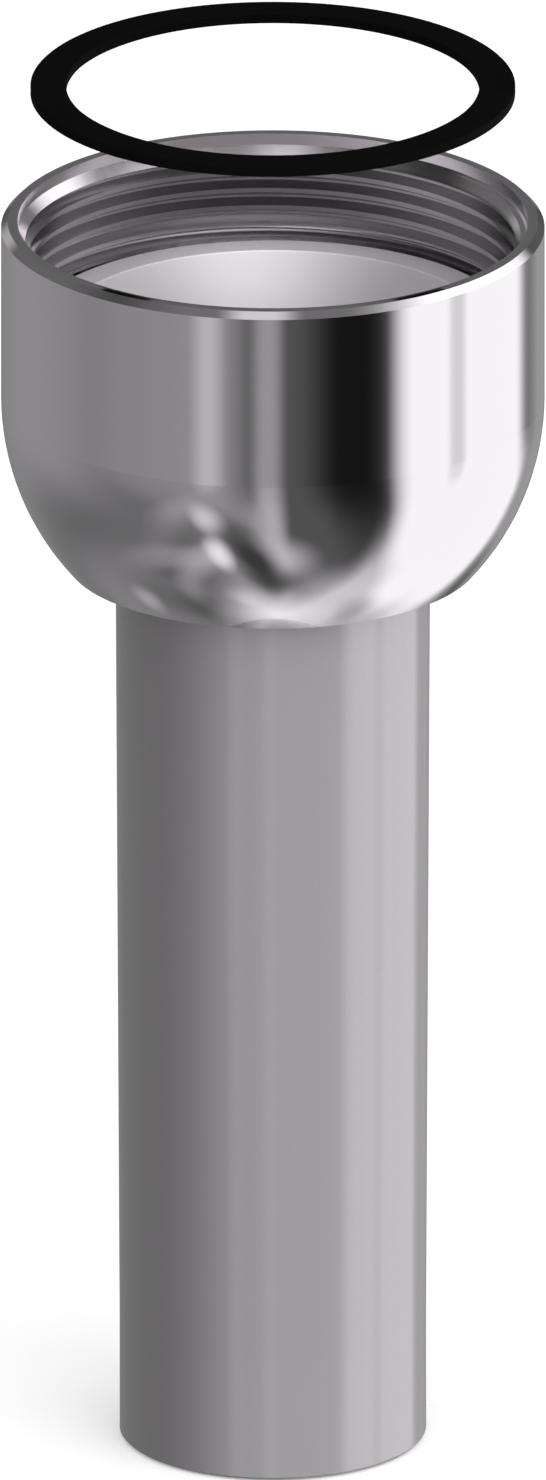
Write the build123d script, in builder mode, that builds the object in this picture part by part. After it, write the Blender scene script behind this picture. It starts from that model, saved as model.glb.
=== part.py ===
from build123d import *
from math import ceil, radians, sqrt, tan
import os

# Flush valve outlet connector: a flared outlet tube, the bell-shaped union nut that turns on it,
# and the flat rubber washer that seals the valve's threaded outlet on the tube's flange.
# Millimetres, +Z up. The origin is the centre of the tube's lower end, on which the part stands.

# Internal thread of the nut, 11.5 turns to the inch. The flange and the washer pass through it.
thread_minor_d = 58.9
thread_pitch = 2.209
flank_half_angle = 30.0
root_flat = thread_pitch / 8
crest_flat = thread_pitch / 4
thread_start_angle = 218.7
groove_overcut = 0.3

# Outlet tube
tube_od = 38.1
tube_taper = 1.0
tube_wall = 1.5
tube_below_nut = 111.8
tube_end_straight = 15.0
tube_end_chamfer = 0.3

# Flared head of the tube and its sealing flange
neck_above_underside = 1.6
flange_clearance = 0.35
flange_width = 3.7
flange_thickness = 1.6
flange_chamfer = 0.25
lip_depth = 13.0

# Union nut, outside
nut_wall = 3.45
nut_height = 43.6
nut_straight = 22.4
underside_width = 5.8
rim_chamfer = 0.8
underside_chamfer = 0.25

# Union nut, inside
bell_wall = 3.0
floor_thickness = 3.0
shoulder_clearance = 0.6
relief_length = 2.0
washer_room = 1.6
washer_room_clearance = 0.3
entry_depth = 1.4
entry_clearance = 0.25

# Sealing washer, shown lifted out above the mouth of the nut
washer_clearance = 0.1
washer_width = 4.35
washer_thickness = 1.3
washer_chamfer = 0.15
washer_lift = 16.3

# Clearances between the tube and the nut
running_clearance = 0.1
seat_clearance = 0.1

# Heights shared by the pieces
underside_z = tube_below_nut
neck_z = underside_z + neck_above_underside
rim_z = underside_z + nut_height
lip_z = rim_z - lip_depth
flange_under_z = lip_z - flange_thickness

# Radii shared by the pieces
crest_r = thread_minor_d / 2
flange_r = crest_r - flange_clearance
tube_r = tube_od / 2
tube_end_r = (tube_od - tube_taper) / 2

os.makedirs("parts", exist_ok=True)


# The outlet tube is one turned piece: a tapered tube with a straight end, which opens in a
# trumpet-shaped flare and finishes in a flat flange, whose top is the sealing face.
flange_bore_r = flange_r - flange_width
flare_length = lip_z - neck_z
flare_run = flange_bore_r - (tube_r - tube_wall)
flare_inner_arc_r = (flare_run**2 + flare_length**2) / (2 * flare_run)
flare_outer_arc_r = flare_inner_arc_r - tube_wall
flare_height = flange_under_z - neck_z
flare_top_r = tube_r + flare_outer_arc_r - sqrt(flare_outer_arc_r**2 - flare_height**2)

with BuildPart() as outlet_tube:
    with BuildSketch(Plane.XZ) as tube_section:
        with BuildLine() as tube_outline:
            bore_line = Polyline(
                (tube_end_r - tube_wall, 0),
                (tube_end_r - tube_wall, tube_end_straight),
                (tube_r - tube_wall, neck_z),
            )
            flare_inside = TangentArc(bore_line @ 1, (flange_bore_r, lip_z), tangent=(0, 1))
            flange_line = Polyline(
                flare_inside @ 1,
                (flange_r, lip_z),
                (flange_r, flange_under_z),
                (flare_top_r, flange_under_z),
            )
            flare_outside = TangentArc((tube_r, neck_z), flange_line @ 1, tangent=(0, 1))
            Polyline(
                flare_outside @ 0,
                (tube_end_r, tube_end_straight),
                (tube_end_r, 0),
                bore_line @ 0,
            )
        make_face()
    revolve(axis=Axis.Z)
    rings = outlet_tube.edges().filter_by(GeomType.CIRCLE)
    chamfer(rings.group_by(Axis.Z)[0], tube_end_chamfer)
    flange_rings = rings.filter_by(lambda ring: abs(ring.radius - flange_r) < 0.01)
    chamfer(flange_rings, flange_chamfer)

outlet_tube.part.label = "outlet_tube"
export_step(outlet_tube.part, "parts/outlet_tube.step")


# The thread is a groove on a right-hand helix, made here as one full turn. The turns are cut one
# above the other. They begin on the shoulder, in the relief groove, and end in the open entry
# bore, so the thread fades in and out of the wall as a tapped one does.
thread_depth = (thread_pitch - crest_flat - root_flat) / 2 / tan(radians(flank_half_angle))
entry_r = crest_r + thread_depth + entry_clearance
entry_cone = entry_r - crest_r
entry_z = rim_z - entry_depth
shoulder_z = flange_under_z - seat_clearance
relief_z = shoulder_z + relief_length
washer_room_r = crest_r + washer_room_clearance
crest_low_z = lip_z + washer_room

groove_half_width = (thread_pitch - crest_flat) / 2
mouth_half_width = groove_half_width + groove_overcut * tan(radians(flank_half_angle))
groove_low_z = shoulder_z + mouth_half_width
groove_high_z = entry_z + groove_half_width
turn_count = ceil((groove_high_z - groove_low_z) / thread_pitch)

with BuildPart() as groove_turn:
    with BuildLine(Plane.XY.offset(groove_low_z)) as groove_path:
        Helix(thread_pitch, thread_pitch, crest_r)
    groove_start = Plane(groove_path.line @ 0, x_dir=(1, 0, 0), z_dir=groove_path.line % 0)
    with BuildSketch(groove_start) as groove_section:
        with BuildLine() as groove_outline:
            Polyline(
                (-groove_overcut, -mouth_half_width),
                (thread_depth, -root_flat / 2),
                (thread_depth, root_flat / 2),
                (-groove_overcut, mouth_half_width),
                close=True,
            )
        make_face()
    sweep(path=groove_path.line, is_frenet=True)


# The union nut is bell-shaped. Its outer wall runs straight down from the rim and closes in one
# arc to a flat underside. Inside, the thread's crests stand back a little where the washer lies,
# and the threaded bore ends in a relief groove over the shoulder that draws the flange up. The
# bell below is hollow down to the floor that closes round the tube.
nut_r = crest_r + nut_wall
underside_r = tube_r + underside_width
wall_low_z = rim_z - nut_straight
bell_run = nut_r - underside_r
bell_arc_r = (bell_run**2 + (wall_low_z - underside_z) ** 2) / (2 * bell_run)
bell_centre_r = nut_r - bell_arc_r
hollow_arc_r = bell_arc_r - bell_wall

hole_r = tube_r + running_clearance
floor_z = underside_z + floor_thickness
floor_corner_r = bell_centre_r + sqrt(hollow_arc_r**2 - (wall_low_z - floor_z) ** 2)
shoulder_r = flare_top_r + shoulder_clearance
hollow_top_z = wall_low_z - sqrt(hollow_arc_r**2 - (shoulder_r - bell_centre_r) ** 2)

with BuildPart() as coupling_nut:
    with BuildSketch(Plane.YZ) as nut_section:
        with BuildLine() as nut_outline:
            outer_wall = Line((nut_r, rim_z), (nut_r, wall_low_z))
            outer_bell = TangentArc(outer_wall @ 1, (underside_r, underside_z), tangent=(0, -1))
            nut_floor = Polyline(
                outer_bell @ 1,
                (hole_r, underside_z),
                (hole_r, floor_z),
                (floor_corner_r, floor_z),
            )
            hollow = RadiusArc(nut_floor @ 1, (shoulder_r, hollow_top_z), -hollow_arc_r)
            Polyline(
                hollow @ 1,
                (shoulder_r, shoulder_z),
                (entry_r, shoulder_z),
                (entry_r, relief_z - (entry_r - washer_room_r)),
                (washer_room_r, relief_z),
                (washer_room_r, crest_low_z - washer_room_clearance),
                (crest_r, crest_low_z),
                (crest_r, entry_z - entry_cone),
                (entry_r, entry_z),
                (entry_r, rim_z),
                outer_wall @ 0,
            )
        make_face()
    revolve(axis=Axis.Z)
    top_rings = coupling_nut.edges().filter_by(GeomType.CIRCLE).group_by(Axis.Z)[-1]
    chamfer(top_rings.sort_by(SortBy.RADIUS)[-1], rim_chamfer)
    low_rings = coupling_nut.edges().filter_by(GeomType.CIRCLE).group_by(Axis.Z)[0]
    chamfer(low_rings, underside_chamfer)
    with Locations(*[(0, 0, turn * thread_pitch) for turn in range(turn_count)]):
        add(groove_turn.part, rotation=(0, 0, thread_start_angle), mode=Mode.SUBTRACT)

coupling_nut.part.label = "coupling_nut"
export_step(coupling_nut.part, "parts/coupling_nut.step")


# The washer is a flat rubber ring. It drops through the thread and lies on the flange.
washer_r = crest_r - washer_clearance
with BuildPart() as sealing_washer:
    with BuildSketch(Plane.XY.offset(rim_z + washer_lift)) as washer_section:
        Circle(washer_r)
        Circle(washer_r - washer_width, mode=Mode.SUBTRACT)
    extrude(amount=washer_thickness)
    chamfer(sealing_washer.edges().filter_by(GeomType.CIRCLE), washer_chamfer)

sealing_washer.part.label = "sealing_washer"
export_step(sealing_washer.part, "parts/sealing_washer.step")
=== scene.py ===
import math

import bpy
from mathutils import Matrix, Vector

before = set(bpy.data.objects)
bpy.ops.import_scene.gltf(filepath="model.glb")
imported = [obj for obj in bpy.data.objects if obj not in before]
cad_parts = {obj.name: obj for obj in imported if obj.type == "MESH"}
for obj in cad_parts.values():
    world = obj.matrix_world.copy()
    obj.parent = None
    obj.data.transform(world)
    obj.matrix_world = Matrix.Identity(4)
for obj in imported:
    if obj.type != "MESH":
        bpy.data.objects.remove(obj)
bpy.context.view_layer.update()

# The looks of the flush valve outlet connector: polished chrome on the union nut, satin chrome on
# the outlet tube, black rubber for the washer, and the plain studio that they stand in.
# Metres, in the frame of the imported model. Angles are in degrees. A pair of heights, radii or
# angles says where a change begins and where it is complete.

# Camera, as the photograph was taken: from 20 degrees above, square on
VIEW_ELEVATION = 20.0
FRAME_HEIGHT = 0.17908
AIM = Vector((0.00002, 0.0, 0.08856))
CAMERA_DISTANCE = 1.2
CAMERA_REACH = 10.0

# Floor of white paper, which glows a little for the camera alone, so that it is white there too
FLOOR_SIZE = 6.0
FLOOR_Z = -0.0002
PAPER_SHADES = (0.88, 0.91)
PAPER_GRAIN = 90.0
PAPER_GLOW = 0.18

# The studio that the metal reflects. Each card is a soft patch of light or dark round the part:
# its place as degrees to the right of the camera and degrees above the horizon, its half width
# and half height in degrees, how far it leans to the right for each degree down, how soft its
# edge is (0 to 1), how square its corners are (2 is an oval) and its level.
# The low cards are what the bell and the tube mirror. The high ones light them from above.
LOW_BASE = 0.350
LOW_CARDS = [
    # place, half size, lean, softness, squareness, level
    ((-66.6, -47.3), (27.1, 20.8), 0.62, 0.47, 2.0, 0.079),
    ((-122.1, -37.4), (37.9, 13.1), 0.60, 0.95, 2.0, 0.933),
    ((-52.9, -38.6), (9.5, 8.1), -1.30, 0.95, 2.0, 1.05),
    ((-103.7, -39.1), (135.9, 23.1), 2.32, 0.95, 2.0, 0.143),
    ((-66.6, -53.3), (34.9, 4.5), -0.27, 0.65, 2.0, 0.259),
    ((-96.7, -99.6), (51.4, 35.3), 0.32, 0.78, 2.0, 0.003),
    ((-127, -58.7), (9.5, 2.9), 0.87, 0.94, 2.0, 0.363),
    ((-0.1, -42.4), (15.9, 18.9), -2.93, 0.95, 2.0, 0.477),
    ((4.2, -41.1), (25.3, 30), -0.07, 0.37, 2.5, 0.003),
    ((92.4, -68.1), (56.7, 38.5), 1.78, 0.40, 3.0, 0.632),
    ((23.9, -21.4), (28.7, 47.1), 0.24, 0.29, 4.0, 0.087),
    ((20.6, -0.9), (17.1, 44.1), 0.72, 0.63, 3.0, 0.007),
    ((-27.8, -20), (4.9, 3.2), -0.30, 0.94, 2.0, 0.489),
    ((-30.2, -36.8), (5.6, 5.4), 0.32, 0.95, 2.0, 0.796),
    ((-0.5, -35), (4.9, 18.7), 0.12, 0.95, 3.0, 0.433),
    ((-2, -54.8), (18.9, 8.5), 0.75, 0.95, 2.0, 0.548),
    ((-10.7, -56.2), (11.7, 17.5), 0.72, 0.75, 2.0, 0.045),
    ((-30.8, -53), (5.2, 6.2), 0.04, 0.95, 2.0, 0.834),
    ((102.2, -26.2), (44, 32.8), 0.33, 0.17, 4.5, 1.001),
    ((85.4, -14.4), (4.5, 9.5), 0.07, 0.53, 3.0, 0.681),
    ((157.1, -23.4), (12.1, 25.2), 0.37, 0.68, 2.0, 0.322),
    ((167.3, -35), (11.9, 4.6), -0.95, 0.72, 2.0, 0.114),
    ((136.3, -13.5), (9.9, 10.8), 0.59, 0.51, 2.0, 0.179),
    ((109.2, -58.9), (20.5, 7.2), 0.07, 0.61, 2.0, 1.009),
    ((123.1, -70.2), (24.2, 3.8), -1.20, 0.95, 2.0, 0.405),
    ((-34.3, -78.2), (15.5, 5.3), -0.12, 0.95, 2.0, 0.512),
]
HIGH_BASE = 0.04
HIGH_CARDS = [
    ((18, 42), (48, 36), 0.0, 0.9, 2.0, 4.5),
    ((98, 10), (42, 56), 0.12, 0.1, 4.5, 1.3),
    ((-128, 18), (34, 34), 0.0, 0.5, 3.0, 0.13),
    ((-152, 8), (8, 7), 0.0, 0.8, 2.0, 1.0),
    ((180, 22), (38, 26), 0.0, 0.6, 3.0, 0.12),
    ((-180, 22), (38, 26), 0.0, 0.6, 3.0, 0.12),
]

# The heights between which the low cards give way to the high ones
HORIZON = (-16, -6)

# One plain level takes over straight below, straight above, and behind the part. The one behind
# is given by the degrees to either side of the camera, and ends on its way down.
BELOW = (-71.9, -94.0)
BELOW_LEVEL = 0.95
ABOVE = (45.0, 65.0)
ABOVE_LEVEL = 0.16
BEHIND = (164, 178)
BEHIND_END = (-75, -55)
BEHIND_LEVEL = 0.22

# A round light over the front, with the distances from its middle between which it fades in
OVERHEAD_PLACE = (-10, 70)
OVERHEAD_EDGE = (12.8, 3.2)
OVERHEAD_LEVEL = 0.65

# Key light, which lights what isn't mirror-like and throws the shadow on the floor
KEY_PLACE = (40, 38)
KEY_DISTANCE = 1.2
KEY_SIZE = 1.2
KEY_WATTS = 3.6

# Union nut. Its bore is less finely polished than its outside, and the thread is painted darker,
# as painted shade for its recess.
# A colour is given as its red and blue, which are equal here, and its green.
BORE_RADII = (0.0313, 0.0311)
BORE_HEIGHTS = (0.1395, 0.1405)
MOUTH_HEIGHTS = (0.1556, 0.1553)
# Heights between which the painted shade of the thread begins
THREAD_SHADE_HEIGHTS = (0.1529, 0.1525)
POLISHED_COLOUR = (0.925, 0.895)
# Painted shade: the thread's darker colour stands in for the shade in the threaded recess
THREAD_SHADE_COLOUR = (0.48, 0.47)
POLISHED_ROUGHNESS = (0.025, 0.06)
BORE_ROUGHNESS = (0.16, 0.22)
POLISH_WAVES = 60.0
POLISH_SPECKS = 900.0

# Outlet tube. The flare inside the nut is duller than the tube and lacks its clear gloss, and the
# flange's sealing face is painted a little paler than the flare, as painted light on the lip.
FLARE_HEIGHTS = (0.1125, 0.1135)
# Heights between which the painted light on the sealing face begins
LIT_FACE_HEIGHTS = (0.1422, 0.1423)
TUBE_COLOUR = (0.505, 0.485)
FLARE_COLOUR = (0.60, 0.58)
# Painted light: the sealing face is made paler than the flare to set how bright the lip looks
LIT_FACE_COLOUR = (0.72, 0.695)
TUBE_ROUGHNESS = (0.55, 0.65)
FLARE_ROUGHNESS = (0.46, 0.54)
FLARE_METALLIC = 0.40
SATIN_GRAIN = 2500.0

# Washer
RUBBER_SHADES = (0.0015, 0.0035)
RUBBER_GRAIN = 1800.0
RUBBER_DUST = 120.0


class Graph:
    """Adds nodes to a node tree, and links what is given to their inputs."""

    def __init__(self, tree):
        self.tree = tree
        tree.nodes.clear()

    def node(self, kind, inputs=None, **settings):
        made = self.tree.nodes.new(kind)
        for name, value in settings.items():
            setattr(made, name, value)
        for key, value in (inputs or {}).items():
            if isinstance(value, bpy.types.NodeSocket):
                self.tree.links.new(value, made.inputs[key])
            else:
                made.inputs[key].default_value = value
        return made

    def math(self, operation, *values):
        inputs = dict(enumerate(values))
        return self.node("ShaderNodeMath", inputs, operation=operation).outputs[0]

    def mix(self, factor, low, high):
        """low where factor is 0 and high where it is 1, as plain numbers."""
        inputs = {"Factor": factor, "A": low, "B": high}
        return self.node("ShaderNodeMix", inputs).outputs["Result"]

    def ramp(self, value, low, high):
        """0 up to low and 1 from high, or the other way round where low is above high."""
        inputs = {"Value": value, "From Min": low, "From Max": high}
        settings = {"interpolation_type": "SMOOTHSTEP"}
        return self.node("ShaderNodeMapRange", inputs, **settings).outputs["Result"]

    def noise(self, vector, scale, detail):
        inputs = {"Vector": vector, "Scale": scale, "Detail": detail, "Roughness": 0.5}
        return self.node("ShaderNodeTexNoise", inputs).outputs["Fac"]

    def bump(self, height, strength, distance):
        inputs = {"Strength": strength, "Distance": distance, "Height": height}
        return self.node("ShaderNodeBump", inputs).outputs[0]

    def colour(self, red_and_blue, green):
        inputs = {0: red_and_blue, 1: green, 2: red_and_blue}
        return self.node("ShaderNodeCombineColor", inputs).outputs[0]

    def mixed_colour(self, factor, low, high):
        """low where factor is 0 and high where it is 1, as pairs of red and blue, and green."""
        red_and_blue = self.mix(factor, low[0], high[0])
        green = self.mix(factor, low[1], high[1])
        return red_and_blue, green

    def object_place(self):
        return self.node("ShaderNodeTexCoord").outputs["Object"]

    def axes(self, vector):
        return self.node("ShaderNodeSeparateXYZ", {0: vector}).outputs


def new_material(name):
    material = bpy.data.materials.new(name)
    material.use_nodes = True
    return material, Graph(material.node_tree)


def output_surface(graph, shader, kind="ShaderNodeOutputMaterial"):
    graph.node(kind, {"Surface": shader})


def add_to_scene(name, data):
    added = bpy.data.objects.new(name, data)
    bpy.context.scene.collection.objects.link(added)
    return added


def toward(azimuth, height):
    """The direction at these degrees to the right of the camera and above the horizon."""
    turn, lift = math.radians(azimuth), math.radians(height)
    level = math.cos(lift)
    return Vector((math.sin(turn) * level, -math.cos(turn) * level, math.sin(lift)))


def make_camera():
    data = bpy.data.cameras.new("camera")
    data.type = "ORTHO"
    data.ortho_scale = FRAME_HEIGHT
    data.clip_end = CAMERA_REACH
    camera = add_to_scene("camera", data)
    camera.location = AIM + toward(0.0, VIEW_ELEVATION) * CAMERA_DISTANCE
    camera.rotation_euler = (math.radians(90.0 - VIEW_ELEVATION), 0.0, 0.0)
    bpy.context.scene.camera = camera


def card_levels(g, azimuth, height, base, cards):
    """The level of the cards at a direction, each laid over those before it."""
    level = base
    for (place_x, place_y), (half_x, half_y), lean, soft, square, card_level in cards:
        down = g.math("SUBTRACT", place_y, height)
        across = g.math("SUBTRACT", azimuth, place_x)
        across = g.math("SUBTRACT", across, g.math("MULTIPLY", down, lean))
        across = g.math("POWER", g.math("ABSOLUTE", g.math("DIVIDE", across, half_x)), square)
        down = g.math("POWER", g.math("ABSOLUTE", g.math("DIVIDE", down, half_y)), square)
        reach = g.math("POWER", g.math("ADD", across, down), 1.0 / square)
        level = g.mix(g.ramp(reach, 1.0 + soft, 1.0 - soft), level, card_level)
    return level


def make_studio():
    """The world: the cards for what the metal reflects, and plain white for everything else."""
    world = bpy.data.worlds.new("studio")
    world.use_nodes = True
    bpy.context.scene.world = world
    g = Graph(world.node_tree)
    direction = g.node("ShaderNodeTexCoord").outputs["Generated"]
    parts = g.axes(direction)
    front = g.math("MULTIPLY", parts["Y"], -1.0)
    azimuth = g.math("DEGREES", g.math("ARCTAN2", parts["X"], front))
    height = g.math("DEGREES", g.math("ARCSINE", parts["Z"]))

    low = card_levels(g, azimuth, height, LOW_BASE, LOW_CARDS)
    low = g.mix(g.ramp(height, *BELOW), low, BELOW_LEVEL)
    behind = g.ramp(g.math("ABSOLUTE", azimuth), *BEHIND)
    behind = g.math("MULTIPLY", behind, g.ramp(height, *BEHIND_END))
    low = g.mix(behind, low, BEHIND_LEVEL)
    high = card_levels(g, azimuth, height, HIGH_BASE, HIGH_CARDS)
    high = g.mix(g.ramp(height, *ABOVE), high, ABOVE_LEVEL)
    level = g.mix(g.ramp(height, *HORIZON), low, high)

    overhead = {0: direction, 1: toward(*OVERHEAD_PLACE)}
    aligned = g.node("ShaderNodeVectorMath", overhead, operation="DOT_PRODUCT").outputs["Value"]
    apart = g.math("DEGREES", g.math("ARCCOSINE", aligned))
    level = g.mix(g.ramp(apart, *OVERHEAD_EDGE), level, OVERHEAD_LEVEL)

    cards = {"Color": g.colour(level, level), "Strength": 1.0}
    reflected = g.node("ShaderNodeBackground", cards).outputs[0]
    white = {"Color": (1, 1, 1, 1), "Strength": 1.0}
    plain = g.node("ShaderNodeBackground", white).outputs[0]
    path = g.node("ShaderNodeLightPath").outputs
    mirrored = g.math("MAXIMUM", path["Is Glossy Ray"], path["Is Transmission Ray"])
    shown = g.node("ShaderNodeMixShader", {0: mirrored, 1: plain, 2: reflected}).outputs[0]
    output_surface(g, shown, "ShaderNodeOutputWorld")


def make_key_light():
    lamp = bpy.data.lights.new("key", "AREA")
    lamp.shape = "DISK"
    lamp.size = KEY_SIZE
    lamp.energy = KEY_WATTS
    key = add_to_scene("key", lamp)
    way = toward(*KEY_PLACE)
    key.location = AIM + way * KEY_DISTANCE
    key.rotation_euler = way.to_track_quat("Z", "Y").to_euler()
    key.visible_glossy = False


def make_floor():
    half = FLOOR_SIZE / 2
    corners = [(-half, -half, 0), (half, -half, 0), (half, half, 0), (-half, half, 0)]
    mesh = bpy.data.meshes.new("floor")
    mesh.from_pydata(corners, [], [(0, 1, 2, 3)])
    floor = add_to_scene("floor", mesh)
    floor.location.z = FLOOR_Z
    floor.visible_glossy = False

    material, g = new_material("floor_paper")
    shade = g.mix(g.noise(g.object_place(), PAPER_GRAIN, detail=4.0), *PAPER_SHADES)
    paper = g.node("ShaderNodeBsdfDiffuse", {"Color": g.colour(shade, shade)}).outputs[0]
    seen = g.node("ShaderNodeLightPath").outputs["Is Camera Ray"]
    light = {"Color": (1, 1, 1, 1), "Strength": g.math("MULTIPLY", seen, PAPER_GLOW)}
    glow = g.node("ShaderNodeEmission", light).outputs[0]
    output_surface(g, g.node("ShaderNodeAddShader", {0: paper, 1: glow}).outputs[0])
    floor.data.materials.append(material)


def polished_chrome():
    material, g = new_material("polished_chrome")
    place = g.object_place()
    waves = g.noise(place, POLISH_WAVES, detail=2.0)
    specks = g.noise(place, POLISH_SPECKS, detail=3.0)
    parts = g.axes(place)
    x_squared = g.math("MULTIPLY", parts["X"], parts["X"])
    y_squared = g.math("MULTIPLY", parts["Y"], parts["Y"])
    radius = g.math("SQRT", g.math("ADD", x_squared, y_squared))
    height = parts["Z"]

    bore = g.math("MULTIPLY", g.ramp(radius, *BORE_RADII), g.ramp(height, *BORE_HEIGHTS))
    mouth = g.math("MULTIPLY", bore, g.ramp(height, *MOUTH_HEIGHTS))
    # Where the thread is painted darker, as painted shade in the recess
    thread_shade = g.math("MULTIPLY", bore, g.ramp(height, *THREAD_SHADE_HEIGHTS))
    polished_rough = g.mix(specks, *POLISHED_ROUGHNESS)
    bore_rough = g.mix(specks, *BORE_ROUGHNESS)
    shader = g.node("ShaderNodeBsdfPrincipled", {
        "Base Color": g.colour(*g.mixed_colour(thread_shade, POLISHED_COLOUR, THREAD_SHADE_COLOUR)),
        "Metallic": 1.0,
        "Roughness": g.mix(mouth, polished_rough, bore_rough),
        "Normal": g.bump(waves, strength=0.02, distance=0.0002),
    })
    output_surface(g, shader.outputs[0])
    return material


def satin_chrome():
    material, g = new_material("satin_chrome")
    place = g.object_place()
    grain = g.noise(place, SATIN_GRAIN, detail=3.0)
    height = g.axes(place)["Z"]
    flare = g.ramp(height, *FLARE_HEIGHTS)
    # Where the sealing face is painted paler, as painted light on the lip
    lit_face = g.ramp(height, *LIT_FACE_HEIGHTS)

    inner_colour = g.mixed_colour(lit_face, FLARE_COLOUR, LIT_FACE_COLOUR)
    tube_rough = g.mix(grain, *TUBE_ROUGHNESS)
    flare_rough = g.mix(grain, *FLARE_ROUGHNESS)
    shader = g.node("ShaderNodeBsdfPrincipled", {
        "Base Color": g.colour(*g.mixed_colour(flare, TUBE_COLOUR, inner_colour)),
        "Metallic": g.mix(flare, 1.0, FLARE_METALLIC),
        "Roughness": g.mix(flare, tube_rough, flare_rough),
        "Coat Weight": g.mix(flare, 1.0, 0.0),
        "Coat Roughness": 0.03,
        "Coat IOR": 2.0,
        "Normal": g.bump(grain, strength=0.05, distance=0.0001),
    })
    output_surface(g, shader.outputs[0])
    return material


def black_rubber():
    material, g = new_material("black_rubber")
    place = g.object_place()
    grain = g.noise(place, RUBBER_GRAIN, detail=4.0)
    dust = g.noise(place, RUBBER_DUST, detail=3.0)
    shade = g.mix(dust, *RUBBER_SHADES)
    shader = g.node("ShaderNodeBsdfPrincipled", {
        "Base Color": g.colour(shade, shade),
        "Roughness": 0.65,
        "Specular IOR Level": 0.02,
        "Normal": g.bump(grain, strength=0.15, distance=0.0001),
    })
    output_surface(g, shader.outputs[0])
    return material


def dress(node, material):
    """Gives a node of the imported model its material."""
    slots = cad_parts[node].data.materials
    slots.clear()
    slots.append(material)


bpy.context.scene.view_settings.view_transform = "Standard"
make_camera()
make_studio()
make_key_light()
make_floor()
dress("coupling_nut", polished_chrome())
dress("outlet_tube", satin_chrome())
dress("sealing_washer", black_rubber())
